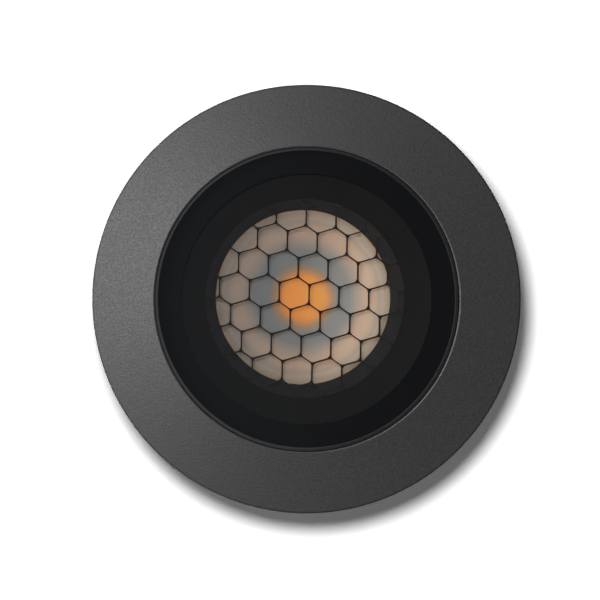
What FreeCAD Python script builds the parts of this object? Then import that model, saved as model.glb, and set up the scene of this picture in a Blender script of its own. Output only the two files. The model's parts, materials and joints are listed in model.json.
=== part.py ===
"""In-ground spotlight for paths and terraces.

A conical trim ring with a bonded glass screws onto a finned, sealed pot. Inside the pot a lamp head with a
honeycomb louvre swivels and tilts. The pot drops into a sleeve that stays in the paving.

Millimetres. Z is up and is the axis of the sleeve, and Z = 0 is the surface of the paving.
"""

import FreeCAD
import Part

import math
import os

Vec = FreeCAD.Vector
UP = Vec(0, 0, 1)
ORIGIN = Vec(0, 0, 0)

# Fits shared by all pieces
FIT_GAP = 0.05  # between two pieces of one body that locate each other
RUN_GAP = 0.15  # between two pieces that turn or slide on each other
PIN_GAP = 0.03  # radial, a pivot pin in its bore
SWEEP_GAP = 0.33  # between the lamp head and whatever it swings past

# Light source
LED_CARRIER_SIDE = 13.5
LED_CARRIER_T = 1.0
LED_DISC_D = 8.6
LED_DISC_T = 0.5
THERMAL_PAD_T = 0.3
CLAMP_T = 2.6
CLAMP_SCREW_OFFSET = 3.0  # screw centre from the side of the carrier
CLAMP_RIM = 1.9  # from the screw centre to the rim of the clamp
CLAMP_SCREW_D = 2.0
CLAMP_SCREW_HEAD_D = 3.4
CLAMP_SCREW_HEAD_T = 1.2
CLAMP_SCREW_DEPTH = 1.8  # thread in the floor of the lamp can

# Lens
LENS_FACE_D = 25.0
LENS_FLANGE_W = 1.1
LENS_FLANGE_T = 1.0
LENS_H = 9.4
LENS_FOOT_WALL = 1.0
LENS_BULGE = 1.3  # how far the side stands outside its chord
LENS_LED_GAP = 0.4  # round the luminous disc
LENS_LIFT = 0.2  # foot of the lens above the carrier
LENS_POCKET_H = 4.2
LENS_DOME_H = 2.3  # rounded part of the pocket
HOLDER_GAP = 0.3  # between the lens and its holder

# Louvre
LOUVRE_STEP = 1.0  # the louvre is this much wider than the lens, on each side
LOUVRE_H = 2.4
LOUVRE_RIM = 0.4
CELL_WALL = 0.17
CELL_ROUND = 0.7
CELL_POST_L = 2.72  # the comb is pulled a little out of shape, so its three kinds of wall differ
CELL_POST_ANGLE = 89.0  # degrees
CELL_RISE_L = 2.76
CELL_RISE_ANGLE = 16.3
CELL_FALL_L = 1.95
CELL_FALL_ANGLE = -35.1
CELL_CORNER_X = 0.6  # a corner at the foot of an upright wall
CELL_CORNER_Y = -0.83
LEAST_CELL = 0.8  # square millimetres, smaller cut-off cells are left closed

# Lens hood
HOOD_H = 8.9
HOOD_GAP = 0.1  # round the face of the lens

# Front bezel of the lamp head
BEZEL_SPIGOT_WALL = 0.9
BEZEL_FLARE = 3.2
BEZEL_FLARE_H = 1.8
BEZEL_THROAT_W = 0.5  # the steep part of the flare next to the louvre
BEZEL_THROAT_H = 0.3
BEZEL_LIP_T = 0.3  # over the rim of the louvre
BEZEL_LIP_MARGIN = 0.05  # the lip reaches this far past the rim
BEZEL_ROOT_H = 1.0  # from the flare to the seat on the can
BEZEL_EDGE_W = 0.4

# Lamp can
CAN_WALL = 1.2
CAN_FLOOR_T = 2.6
CAN_CORE_D = 12.0
CAN_FIN_COUNT = 3
CAN_FIN_T = 1.2
CAN_FIN_GAP = 1.8
CAN_EDGE = 0.3
LEAD_HOLE_D = 2.0
LEAD_HOLE_GAP = 0.3  # to the rim of the clamp

# Swivel and tilt
TILT_LIMIT = 12.0  # degrees each way
PIN_D = 2.5
PIN_SEAT = 3.0  # length of the pin in the boss
BOSS_D = 5.0
BOSS_DROP = 0.1  # below the top of the can
PIVOT_WASHER_T = 0.4
PIVOT_WASHER_D = 4.8
SWIVEL_WALL = 1.8
SWIVEL_H = 6.0
SWIVEL_GLIDE_T = 0.5
RETAINER_T = 0.8
RETAINER_W = 1.0
RETAINER_BITE = 0.55  # depth of its groove in the pot
RETAINER_GAP_ANGLE = 24.0
RETAINER_EAR_D = 2.0
RETAINER_EAR_HOLE_D = 0.9

# Glass and trim ring
GLASS_T = 3.0
GLASS_EDGE = 0.35
WINDOW_MARGIN = 0.25  # the window is this much narrower than the mouth of the bezel
GASKET_W = 3.6
GASKET_T = 0.8
GLASS_BED = 0.05  # adhesive between the gasket and the glass
GLASS_GAP = 0.1
GLASS_SINK = 0.65  # top of the glass below the corner of the rim
LEDGE_SETBACK = 0.3  # the gasket stands out this far past its ledge
LEDGE_T = 1.8
RIM_Z = 3.75  # corner of the rim, before it is rounded
RIM_ROUND = 0.2
TRIM_EDGE_Z = 1.7
TRIM_EDGE_ROUND = 0.15
TRIM_GROUND_GAP = 0.25
SKIRT_GAP = 0.3
SKIRT_WALL = 1.4
BARREL_WALL = 1.75
BARREL_L = 6.5
BARREL_EDGE = 0.4
THREAD_GAP = 0.1

# Pot
FRONT_SEAL_T = 1.0
FRONT_SEAL_MARGIN = 0.15
NECK_WALL = 1.6
SHOULDER_GAP = 0.3
SHOULDER_H = 2.5
POT_LEDGE_W = 1.6
POT_WALL = 2.0
POT_FLOOR_T = 2.6
POT_EDGE = 1.2
COLLAR_H = 8.0
BUMPER_H = 3.0
BUMPER_BITE = 1.0
RIB_COUNT = 30
RIB_T = 1.2
RIB_GAP = 0.6  # between the ribs and the sleeve
RIB_ROOT = 0.3  # overlap of a rib with the wall that carries it

# Retaining springs
SPRING_COUNT = 3
SPRING_START = 90.0  # degrees, direction of the first spring
SPRING_T = 0.4
SPRING_W = 7.0
SPRING_TAB_H = 6.0
SPRING_L = 30.0
SPRING_SETBACK = 0.15  # from the corners of the crown to the sleeve
SPRING_PAD_W = 8.0
SPRING_PAD_T = 0.35
SPRING_TOP_GAP = 1.5  # below the shoulder
SPRING_FOOT_GAP = 0.8  # above the collar
SPRING_SCREW_D = 1.6
SPRING_SCREW_DEPTH = 1.4
SPRING_SCREW_HEAD_D = 3.0
SPRING_SCREW_HEAD_T = 0.7

# Driver
BOARD_T = 1.6
BOARD_GAP = 0.6
BOARD_HOLE_D = 8.0
BOARD_SCREW_INSET = 3.5
BOARD_SCREW_COUNT = 3
BOARD_SCREW_START = 90.0  # degrees, direction of the first screw
BOARD_SCREW_D = 2.4
BOARD_SCREW_HEAD_D = 4.4
BOARD_SCREW_HEAD_T = 1.6
BOARD_SCREW_DEPTH = 4.0
STANDOFF_D = 5.6
STANDOFF_H = 5.0  # at least
PART_SPACING = 1.0  # components from the cable hole
PART_H = 8.0  # the tallest component allowed
INDUCTOR_D = 8.4
INDUCTOR_H = 6.0
INDUCTOR_ANGLE = 150.0  # degrees, between two screws
INDUCTOR_FLANGE_T = 1.2
INDUCTOR_WAIST = 0.9
CAPACITOR_D = 6.3
CAPACITOR_H = 7.6
CAPACITOR_ANGLE = 30.0  # degrees, between two screws
CAPACITOR_ROUND = 0.6
CAPACITOR_GROOVE = 0.35
TERMINAL_ANGLE = 270.0  # degrees, between two screws
TERMINAL_L = 10.0
TERMINAL_W = 7.2
TERMINAL_H = 7.8
TERMINAL_PITCH = 5.0
TERMINAL_SCREW_D = 3.0
TERMINAL_SCREW_DEPTH = 2.0
TERMINAL_WIRE_D = 2.4
TERMINAL_WIRE_DEPTH = 4.5
CHIP_L = 4.0
CHIP_W = 3.0
CHIP_H = 1.6

# Cable gland
CABLE_D = 6.0
CABLE_GAP = 0.1
GLAND_SEAL_WALL = 2.0
GLAND_SEAL_L = 7.0
GLAND_WALL = 1.3
GLAND_STOP_W = 0.7
GLAND_HEX = 16.0
GLAND_HEX_T = 4.0
GLAND_WASHER_T = 1.0
GLAND_WASHER_W = 2.2
LOCKNUT_HEX = 17.0
LOCKNUT_T = 2.8
GLAND_THREAD_END = 1.0  # thread showing past the locknut
DOME_WALL = 1.2
DOME_END_T = 2.4
DOME_ROUND = 2.0
DOME_HEX = 18.0
DOME_HEX_L = 6.0
DOME_GAP = 0.4
CABLE_MOUTH_GAP = 0.5

# Sleeve
SLEEVE_GAP = 0.3
SLEEVE_WALL = 1.6
SLEEVE_FLANGE_W = 1.7
SLEEVE_FLANGE_T = 1.0
SLEEVE_PLAIN_L = 40.0
SLEEVE_GROOVE_COUNT = 3
SLEEVE_GROOVE_H = 3.0
SLEEVE_GROOVE_PITCH = 8.0
SLEEVE_GROOVE_DEPTH = 0.5
SLEEVE_LIP_W = 1.4
SLEEVE_LIP_T = 1.2
SLOT_COUNT = 2
SLOT_W = 10.0
SLOT_H = 13.0
GRID_T = 1.8
GRID_GAP = 0.1
GRID_CLEAR = 3.0  # below the gland
GRID_HOLE_D = 16.0
GRID_SLOT_COUNT = 8
GRID_SLOT_W = 3.0
GRID_SLOT_MARGIN = 2.2

# Radii, from the lens outwards
lens_r = LENS_FACE_D / 2
lens_flange_r = lens_r + LENS_FLANGE_W
louvre_r = lens_flange_r + LOUVRE_STEP
cells_r = louvre_r - LOUVRE_RIM
lip_r = cells_r - BEZEL_LIP_MARGIN
pocket_r = louvre_r + FIT_GAP
spigot_r = pocket_r + BEZEL_SPIGOT_WALL
can_bore_r = spigot_r + FIT_GAP
can_r = can_bore_r + CAN_WALL
mouth_r = pocket_r + BEZEL_FLARE
bezel_r = mouth_r + BEZEL_EDGE_W
window_r = mouth_r - WINDOW_MARGIN
glass_r = window_r + GASKET_W
rebate_r = glass_r + GLASS_GAP
ledge_r = window_r + LEDGE_SETBACK

tilt = math.radians(TILT_LIMIT)
bezel_seat_h = BEZEL_FLARE_H + BEZEL_ROOT_H
pivot_depth = bezel_seat_h + BOSS_DROP + BOSS_D / 2
swivel_bore_r = bezel_r * math.cos(tilt) + pivot_depth * math.sin(tilt) + SWEEP_GAP
swivel_r = swivel_bore_r + SWIVEL_WALL
neck_bore_r = swivel_r + RUN_GAP
neck_r = neck_bore_r + NECK_WALL
barrel_bore_r = neck_r + THREAD_GAP
barrel_r = barrel_bore_r + BARREL_WALL
sleeve_bore_r = barrel_r + SLEEVE_GAP
sleeve_r = sleeve_bore_r + SLEEVE_WALL
sleeve_flange_r = sleeve_r + SLEEVE_FLANGE_W
skirt_bore_r = sleeve_flange_r + SKIRT_GAP
trim_r = skirt_bore_r + SKIRT_WALL
pot_bore_r = swivel_bore_r + POT_LEDGE_W
pot_r = pot_bore_r + POT_WALL
rib_r = sleeve_bore_r - RIB_GAP

clamp_screw_y = LED_CARRIER_SIDE / 2 + CLAMP_SCREW_OFFSET
clamp_r = clamp_screw_y + CLAMP_RIM
lead_hole_x = clamp_r + LEAD_HOLE_GAP + LEAD_HOLE_D / 2
lens_pocket_r = LED_DISC_D / 2 + LENS_LED_GAP
lens_foot_r = lens_pocket_r + LENS_FOOT_WALL
boss_face_x = swivel_bore_r - SWEEP_GAP - PIVOT_WASHER_T
spring_face_r = pot_r + SPRING_PAD_T
board_r = pot_bore_r - BOARD_GAP
board_screw_r = board_r - BOARD_SCREW_INSET
part_r = BOARD_HOLE_D / 2 + PART_SPACING

# Heights, from the rim of the trim ring downwards
glass_top_z = RIM_Z - GLASS_SINK
glass_z = glass_top_z - GLASS_T
gasket_top_z = glass_z - GLASS_BED
ledge_top_z = gasket_top_z - GASKET_T
ledge_z = ledge_top_z - LEDGE_T
barrel_z = ledge_z - BARREL_L
neck_top_z = ledge_z - FRONT_SEAL_T
shoulder_top_z = barrel_z - SHOULDER_GAP
shoulder_z = shoulder_top_z - SHOULDER_H

head_rise = bezel_r * math.sin(tilt) - pivot_depth * (1 - math.cos(tilt))
head_z = ledge_z - SWEEP_GAP - head_rise
pivot_z = head_z - pivot_depth
can_top_z = head_z - bezel_seat_h
throat_z = head_z - BEZEL_FLARE_H
louvre_top_z = throat_z - BEZEL_THROAT_H - BEZEL_LIP_T
louvre_z = louvre_top_z - LOUVRE_H
lens_top_z = louvre_z - HOOD_H
flange_z = lens_top_z - LENS_FLANGE_T
lens_z = lens_top_z - LENS_H
carrier_top_z = lens_z - LENS_LIFT
carrier_z = carrier_top_z - LED_CARRIER_T
can_floor_z = carrier_z - THERMAL_PAD_T
can_base_z = can_floor_z - CAN_FLOOR_T
can_end_z = can_base_z - CAN_FIN_COUNT * (CAN_FIN_GAP + CAN_FIN_T)
clamp_top_z = can_floor_z + CLAMP_T


def swing_radius(z):
    """The radius that a point of the lamp head at this height may have and still clear the pot at full tilt."""
    depth = pivot_z - z
    return (pot_bore_r - SWEEP_GAP - depth * math.sin(tilt)) / math.cos(tilt)


head_depth = pivot_z - can_end_z
head_sweep_z = pivot_z - head_depth * math.cos(tilt) - swing_radius(can_end_z) * math.sin(tilt)
swivel_top_z = pivot_z + SWIVEL_H / 2
swivel_z = pivot_z - SWIVEL_H / 2
pot_ledge_z = swivel_z - SWIVEL_GLIDE_T
retainer_z = swivel_top_z + RUN_GAP

board_top_z = head_sweep_z - SWEEP_GAP - PART_H
board_z = board_top_z - BOARD_T
spring_top_z = shoulder_z - SPRING_TOP_GAP
spring_screw_z = spring_top_z - SPRING_TAB_H / 2
spring_bow_z = spring_top_z - SPRING_TAB_H
spring_z = spring_bow_z - SPRING_L

# The pot is as deep as its driver or its springs need
pot_z = min(board_z - STANDOFF_H - POT_FLOOR_T, spring_z - SPRING_FOOT_GAP - COLLAR_H)
pot_floor_z = pot_z + POT_FLOOR_T
collar_top_z = pot_z + COLLAR_H
bumper_z = pot_z + (COLLAR_H - BUMPER_H) / 2

# Cable gland radii and heights
cable_bore_r = CABLE_D / 2 + CABLE_GAP
gland_seal_r = cable_bore_r + GLAND_SEAL_WALL
gland_bore_r = gland_seal_r + FIT_GAP
gland_r = gland_bore_r + GLAND_WALL
gland_stop_r = gland_seal_r - GLAND_STOP_W
gland_hole_r = gland_r + FIT_GAP
dome_bore_r = gland_r + THREAD_GAP
dome_r = dome_bore_r + DOME_WALL
gland_flange_top_z = pot_z - GLAND_WASHER_T
gland_flange_z = gland_flange_top_z - GLAND_HEX_T
gland_z = gland_flange_z - GLAND_SEAL_L
dome_top_z = gland_flange_z - DOME_GAP
dome_z = gland_z - DOME_END_T
locknut_top_z = pot_floor_z + LOCKNUT_T

# Sleeve heights
grid_top_z = dome_z - GRID_CLEAR
grid_z = grid_top_z - GRID_T
sleeve_z = grid_z - SLEEVE_LIP_T


def closed_wire(corners):
    """Closed wire in the XZ plane. Each corner is (radius, height) or (radius, height, rounding)."""
    points = [Vec(c[0], 0, c[1]) for c in corners]
    rounds = [c[2] if len(c) > 2 else 0 for c in corners]
    arrivals, departures, arcs = [], [], []
    for i, here in enumerate(points):
        if not rounds[i]:
            arrivals.append(here)
            departures.append(here)
            arcs.append(None)
            continue
        back = (points[i - 1] - here).normalize()
        ahead = (points[(i + 1) % len(points)] - here).normalize()
        half = back.getAngle(ahead) / 2
        reach = rounds[i] / math.tan(half)
        inward = (back + ahead).normalize()
        middle = here + inward * (rounds[i] / math.sin(half) - rounds[i])
        arrivals.append(here + back * reach)
        departures.append(here + ahead * reach)
        arcs.append(Part.Arc(arrivals[i], middle, departures[i]).toShape())
    edges = []
    for i, arc in enumerate(arcs):
        if arc:
            edges.append(arc)
        arrival = arrivals[(i + 1) % len(points)]
        if departures[i].distanceToPoint(arrival) > 1e-6:
            edges.append(Part.LineSegment(departures[i], arrival).toShape())
    return Part.Wire(edges)


def turned(corners):
    """Solid of revolution about Z."""
    return Part.Face(closed_wire(corners)).revolve(ORIGIN, UP, 360)


def tube(bore_r, outer_r, low_z, high_z):
    """Plain ring about Z."""
    return turned([(bore_r, low_z), (outer_r, low_z), (outer_r, high_z), (bore_r, high_z)])


def post(radius, low_z, high_z, x=0.0, y=0.0):
    """Upright cylinder."""
    return Part.makeCylinder(radius, high_z - low_z, Vec(x, y, low_z))


def block(length, width, low_z, high_z, x=0.0, y=0.0):
    """Upright box, centred in X and Y."""
    return Part.makeBox(length, width, high_z - low_z, Vec(x - length / 2, y - width / 2, low_z))


def hex_prism(across_flats, low_z, high_z):
    """Upright hexagonal prism about Z."""
    corner_r = across_flats / math.sqrt(3)
    corners = [Vec(corner_r * math.cos(math.radians(a)), corner_r * math.sin(math.radians(a)), low_z)
               for a in range(0, 361, 60)]
    return Part.Face(Part.makePolygon(corners)).extrude(UP * (high_z - low_z))


def about_z(shape, angle):
    """Copy of a shape, turned about Z by an angle in degrees."""
    copy = shape.copy()
    copy.rotate(ORIGIN, UP, angle)
    return copy


def around(shape, count, start=0.0):
    """Copies of a shape, evenly spaced about Z."""
    return [about_z(shape, start + i * 360.0 / count) for i in range(count)]


def joined(*shapes):
    """One solid made of overlapping solids."""
    return shapes[0].fuse(list(shapes[1:])).removeSplitter()


def trim_ring():
    """Conical ring with the rebate for the glass and the threaded barrel."""
    return turned([
        (trim_r, TRIM_GROUND_GAP),
        (trim_r, TRIM_EDGE_Z, TRIM_EDGE_ROUND),
        (rebate_r, RIM_Z, RIM_ROUND),
        (rebate_r, ledge_top_z),
        (ledge_r, ledge_top_z),
        (ledge_r, ledge_z),
        (barrel_bore_r, ledge_z),
        (barrel_bore_r, barrel_z + BARREL_EDGE),
        (barrel_bore_r + BARREL_EDGE, barrel_z),
        (barrel_r - BARREL_EDGE, barrel_z),
        (barrel_r, barrel_z + BARREL_EDGE),
        (barrel_r, SLEEVE_FLANGE_T),
        (skirt_bore_r, SLEEVE_FLANGE_T),
        (skirt_bore_r, TRIM_GROUND_GAP),
    ])


def glass():
    """Flat toughened disc with ground edges."""
    return turned([
        (0, glass_z),
        (glass_r - GLASS_EDGE, glass_z),
        (glass_r, glass_z + GLASS_EDGE),
        (glass_r, glass_top_z - GLASS_EDGE),
        (glass_r - GLASS_EDGE, glass_top_z),
        (0, glass_top_z),
    ])


def glass_gasket():
    """Black flat ring between the glass and its ledge."""
    return tube(window_r, glass_r, ledge_top_z, gasket_top_z)


def front_seal():
    """Flat seal between the trim ring and the neck of the pot."""
    return tube(neck_bore_r + FRONT_SEAL_MARGIN, neck_r - FRONT_SEAL_MARGIN, neck_top_z, ledge_z)


def spring_angles():
    """Directions of the retaining springs."""
    return [SPRING_START + i * 360.0 / SPRING_COUNT for i in range(SPRING_COUNT)]


def clear_of_springs(angle):
    """True where a cooling rib leaves room for the springs."""
    room = math.degrees(math.atan2(SPRING_PAD_W / 2 + RIB_T, pot_r))
    return all(abs((angle - s + 180) % 360 - 180) > room for s in spring_angles())


def pot_shell():
    """Turned shell of the pot, with the retainer groove, the swivel ledge and the bumper groove."""
    groove_r = neck_bore_r + RETAINER_BITE
    groove_top_z = retainer_z + RETAINER_T + FIT_GAP
    return turned([
        (neck_bore_r, neck_top_z),
        (neck_bore_r, groove_top_z),
        (groove_r, groove_top_z),
        (groove_r, retainer_z - FIT_GAP),
        (neck_bore_r, retainer_z - FIT_GAP),
        (neck_bore_r, pot_ledge_z),
        (pot_bore_r, pot_ledge_z),
        (pot_bore_r, pot_floor_z),
        (gland_hole_r, pot_floor_z),
        (gland_hole_r, pot_z),
        (rib_r, pot_z, POT_EDGE),
        (rib_r, bumper_z),
        (rib_r - BUMPER_BITE, bumper_z),
        (rib_r - BUMPER_BITE, bumper_z + BUMPER_H),
        (rib_r, bumper_z + BUMPER_H),
        (rib_r, collar_top_z),
        (pot_r, collar_top_z),
        (pot_r, shoulder_z),
        (rib_r, shoulder_z),
        (rib_r, shoulder_top_z),
        (neck_r, shoulder_top_z),
        (neck_r, neck_top_z),
    ])


def cooling_ribs():
    """Upright ribs round the pot, left out behind the springs."""
    rib = Part.makeBox(rib_r - pot_r + RIB_ROOT, RIB_T, shoulder_z - collar_top_z + 2 * RIB_ROOT,
                       Vec(pot_r - RIB_ROOT, -RIB_T / 2, collar_top_z - RIB_ROOT))
    rib = rib.common(tube(pot_r - RIB_ROOT, rib_r, collar_top_z - RIB_ROOT, shoulder_z + RIB_ROOT))
    angles = [i * 360.0 / RIB_COUNT for i in range(RIB_COUNT)]
    return [about_z(rib, a) for a in angles if clear_of_springs(a)]


def spring_pad():
    """Flat pad for a spring's tab, on the +X side."""
    return Part.makeBox(SPRING_PAD_T + POT_WALL / 2, SPRING_PAD_W, SPRING_TAB_H,
                        Vec(pot_r - POT_WALL / 2, -SPRING_PAD_W / 2, spring_bow_z))


def spring_screw_hole():
    """Blind hole for a spring's screw, on the +X side."""
    depth = SPRING_SCREW_DEPTH + SPRING_SCREW_D / 4
    return Part.makeCylinder(SPRING_SCREW_D / 2 + FIT_GAP, depth, Vec(spring_face_r - depth, 0, spring_screw_z),
                             Vec(1, 0, 0))


def board_screw_angles():
    """Directions of the board's screws."""
    return [BOARD_SCREW_START + i * 360.0 / BOARD_SCREW_COUNT for i in range(BOARD_SCREW_COUNT)]


def board_screw_places():
    """Centres of the board's screws, as (x, y)."""
    angles = [math.radians(a) for a in board_screw_angles()]
    return [(board_screw_r * math.cos(a), board_screw_r * math.sin(a)) for a in angles]


def housing():
    """The pot: shell, ribs, spring pads and standoffs for the driver board."""
    pads = [about_z(spring_pad(), a) for a in spring_angles()]
    standoffs = [post(STANDOFF_D / 2, pot_floor_z - RIB_ROOT, board_z, x, y) for x, y in board_screw_places()]
    body = joined(pot_shell(), *cooling_ribs(), *pads, *standoffs)
    holes = [about_z(spring_screw_hole(), a) for a in spring_angles()]
    hole_r = BOARD_SCREW_D / 2 + FIT_GAP
    hole_z = board_z - BOARD_SCREW_DEPTH - FIT_GAP
    holes += [post(hole_r, hole_z, board_z, x, y) for x, y in board_screw_places()]
    return body.cut(holes)


def bumper_ring():
    """Rubber ring that centres the pot in the sleeve."""
    outer_r = rib_r + RIB_GAP / 2
    return turned([
        (rib_r - BUMPER_BITE, bumper_z),
        (rib_r, bumper_z),
        (outer_r, bumper_z + BUMPER_H / 2, BUMPER_H / 2),
        (rib_r, bumper_z + BUMPER_H),
        (rib_r - BUMPER_BITE, bumper_z + BUMPER_H),
    ])


def retaining_spring():
    """Bowed leaf spring on the +X side: a flat tab, then one arc out to the sleeve and back."""
    crown_r = math.sqrt((sleeve_bore_r - SPRING_SETBACK) ** 2 - (SPRING_W / 2) ** 2)
    middle_z = (spring_bow_z + spring_z) / 2
    tab_r = spring_face_r + SPRING_T

    def at(r, z):
        return Vec(r, -SPRING_W / 2, z)

    edges = [
        Part.LineSegment(at(spring_face_r, spring_top_z), at(tab_r, spring_top_z)),
        Part.LineSegment(at(tab_r, spring_top_z), at(tab_r, spring_bow_z)),
        Part.Arc(at(tab_r, spring_bow_z), at(crown_r, middle_z), at(tab_r, spring_z)),
        Part.LineSegment(at(tab_r, spring_z), at(spring_face_r, spring_z)),
        Part.Arc(at(spring_face_r, spring_z), at(crown_r - SPRING_T, middle_z), at(spring_face_r, spring_bow_z)),
        Part.LineSegment(at(spring_face_r, spring_bow_z), at(spring_face_r, spring_top_z)),
    ]
    leaf = Part.Face(Part.Wire([e.toShape() for e in edges])).extrude(Vec(0, SPRING_W, 0))
    hole = Part.makeCylinder(SPRING_SCREW_D / 2 + FIT_GAP, SPRING_T, Vec(spring_face_r, 0, spring_screw_z),
                             Vec(1, 0, 0))
    return leaf.cut(hole)


def retaining_springs():
    """All the leaf springs."""
    return Part.makeCompound([about_z(retaining_spring(), a) for a in spring_angles()])


def spring_screw():
    """Pan-head screw through a spring's tab, on the +X side."""
    face_r = spring_face_r + SPRING_T
    shank = Part.makeCylinder(SPRING_SCREW_D / 2, SPRING_SCREW_DEPTH + SPRING_T,
                              Vec(spring_face_r - SPRING_SCREW_DEPTH, 0, spring_screw_z), Vec(1, 0, 0))
    head = Part.makeCylinder(SPRING_SCREW_HEAD_D / 2, SPRING_SCREW_HEAD_T, Vec(face_r, 0, spring_screw_z),
                             Vec(1, 0, 0))
    return joined(head, shank)


def spring_screws():
    """The screws of all the springs."""
    return Part.makeCompound([about_z(spring_screw(), a) for a in spring_angles()])


def swivel_ring():
    """Ring that turns on the ledge of the pot and carries the tilt pins."""
    ring = tube(swivel_bore_r, swivel_r, swivel_z, swivel_top_z)
    bores = Part.makeCylinder(PIN_D / 2 + PIN_GAP, 4 * swivel_r, Vec(-2 * swivel_r, 0, pivot_z), Vec(1, 0, 0))
    return ring.cut(bores)


def swivel_glide():
    """Slip ring between the swivel ring and the ledge."""
    return tube(swivel_bore_r + RUN_GAP, swivel_r, pot_ledge_z, swivel_z)


def swivel_retainer():
    """Open snap ring with two pliers' ears, in the groove above the swivel ring."""
    outer_r = neck_bore_r + RETAINER_BITE - FIT_GAP
    inner_r = neck_bore_r - RETAINER_W
    top_z = retainer_z + RETAINER_T
    half = math.radians(RETAINER_GAP_ANGLE / 2)
    reach = 2 * outer_r
    wedge = Part.makePolygon([
        Vec(0, 0, retainer_z),
        Vec(reach * math.sin(half), reach * math.cos(half), retainer_z),
        Vec(-reach * math.sin(half), reach * math.cos(half), retainer_z),
        Vec(0, 0, retainer_z),
    ])
    ring = tube(inner_r, outer_r, retainer_z, top_z).cut(Part.Face(wedge).extrude(UP * RETAINER_T))
    ear_r = RETAINER_EAR_D / 2
    ear_centre_r = swivel_bore_r + ear_r
    for side in (-1, 1):
        angle = math.radians(90) + side * (half + ear_r / ear_centre_r)
        x, y = ear_centre_r * math.cos(angle), ear_centre_r * math.sin(angle)
        ring = joined(ring, post(ear_r, retainer_z, top_z, x, y))
        ring = ring.cut(post(RETAINER_EAR_HOLE_D / 2, retainer_z, top_z, x, y))
    return ring


def on_both_sides(shape):
    """A shape on the +X side and its copy on the -X side."""
    return [shape, about_z(shape, 180)]


def lamp_can():
    """Aluminium can: a cup for the optics, a floor for the LED, pivot bosses and round fins behind."""
    corners = [
        (can_bore_r, can_top_z),
        (can_bore_r, can_floor_z),
        (0, can_floor_z),
        (0, can_end_z),
    ]
    for i in reversed(range(CAN_FIN_COUNT)):
        fin_top_z = can_base_z - CAN_FIN_GAP - i * (CAN_FIN_GAP + CAN_FIN_T)
        fin_z = fin_top_z - CAN_FIN_T
        fin_r = min(swing_radius(fin_z), can_r)
        corners += [(fin_r, fin_z, CAN_EDGE), (fin_r, fin_top_z, CAN_EDGE), (CAN_CORE_D / 2, fin_top_z),
                    (CAN_CORE_D / 2, fin_top_z + CAN_FIN_GAP)]
    corners += [(min(swing_radius(can_base_z), can_r), can_base_z, CAN_EDGE), (can_r, can_floor_z),
                (can_r, can_top_z)]
    boss = Part.makeCylinder(BOSS_D / 2, boss_face_x - can_bore_r, Vec(can_bore_r, 0, pivot_z), Vec(1, 0, 0))
    can = joined(turned(corners), *on_both_sides(boss))
    pin_hole = Part.makeCylinder(PIN_D / 2 + FIT_GAP / 5, boss_face_x - can_bore_r + FIT_GAP,
                                 Vec(can_bore_r - FIT_GAP, 0, pivot_z), Vec(1, 0, 0))
    can = can.cut(on_both_sides(pin_hole))
    screw_hole = post(CLAMP_SCREW_D / 2 + FIT_GAP, can_floor_z - CLAMP_SCREW_DEPTH - FIT_GAP, can_floor_z,
                      0, clamp_screw_y)
    lead_hole = post(LEAD_HOLE_D / 2, can_base_z, can_floor_z, lead_hole_x)
    return can.cut(on_both_sides(screw_hole) + [lead_hole])


def pivot_pins():
    """Two steel pins, fixed in the bosses and free in the swivel ring."""
    start_x = boss_face_x - min(PIN_SEAT, boss_face_x - can_bore_r)
    pin = Part.makeCylinder(PIN_D / 2, swivel_r - RUN_GAP - start_x, Vec(start_x, 0, pivot_z), Vec(1, 0, 0))
    return Part.makeCompound(on_both_sides(pin))


def pivot_washers():
    """Two friction washers on the pins, against the bosses."""
    start = Vec(boss_face_x, 0, pivot_z)
    disc = Part.makeCylinder(PIVOT_WASHER_D / 2, PIVOT_WASHER_T, start, Vec(1, 0, 0))
    hole = Part.makeCylinder(PIN_D / 2 + FIT_GAP, PIVOT_WASHER_T, start, Vec(1, 0, 0))
    return Part.makeCompound(on_both_sides(disc.cut(hole)))


def thermal_pad():
    """Soft sheet between the LED carrier and the can."""
    return block(LED_CARRIER_SIDE, LED_CARRIER_SIDE, can_floor_z, carrier_z)


def led_carrier():
    """Square ceramic carrier of the LED."""
    return block(LED_CARRIER_SIDE, LED_CARRIER_SIDE, carrier_z, carrier_top_z)


def led_disc():
    """Amber luminous disc."""
    return turned([
        (0, carrier_top_z),
        (LED_DISC_D / 2, carrier_top_z),
        (LED_DISC_D / 2, carrier_top_z + LED_DISC_T, LED_DISC_T / 2),
        (0, carrier_top_z + LED_DISC_T),
    ])


def led_clamp():
    """White ring that holds the carrier down, with a square pocket under it."""
    ring = tube(lens_foot_r + HOLDER_GAP, clamp_r, can_floor_z, clamp_top_z).cut(lens_room())
    pocket_side = LED_CARRIER_SIDE + 2 * FIT_GAP
    pocket = block(pocket_side, pocket_side, can_floor_z, carrier_top_z)
    screw_hole = post(CLAMP_SCREW_D / 2 + FIT_GAP, can_floor_z, clamp_top_z, 0, clamp_screw_y)
    head_seat = post(CLAMP_SCREW_HEAD_D / 2 + FIT_GAP, clamp_top_z - CLAMP_SCREW_HEAD_T, clamp_top_z,
                     0, clamp_screw_y)
    return ring.cut([pocket] + on_both_sides(screw_hole) + on_both_sides(head_seat))


def clamp_screws():
    """Two sunk screws that hold the clamp on the floor of the can."""
    head = post(CLAMP_SCREW_HEAD_D / 2, clamp_top_z - CLAMP_SCREW_HEAD_T, clamp_top_z, 0, clamp_screw_y)
    shank = post(CLAMP_SCREW_D / 2, can_floor_z - CLAMP_SCREW_DEPTH, clamp_top_z - CLAMP_SCREW_HEAD_T,
                 0, clamp_screw_y)
    return Part.makeCompound(on_both_sides(joined(head, shank)))


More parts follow.
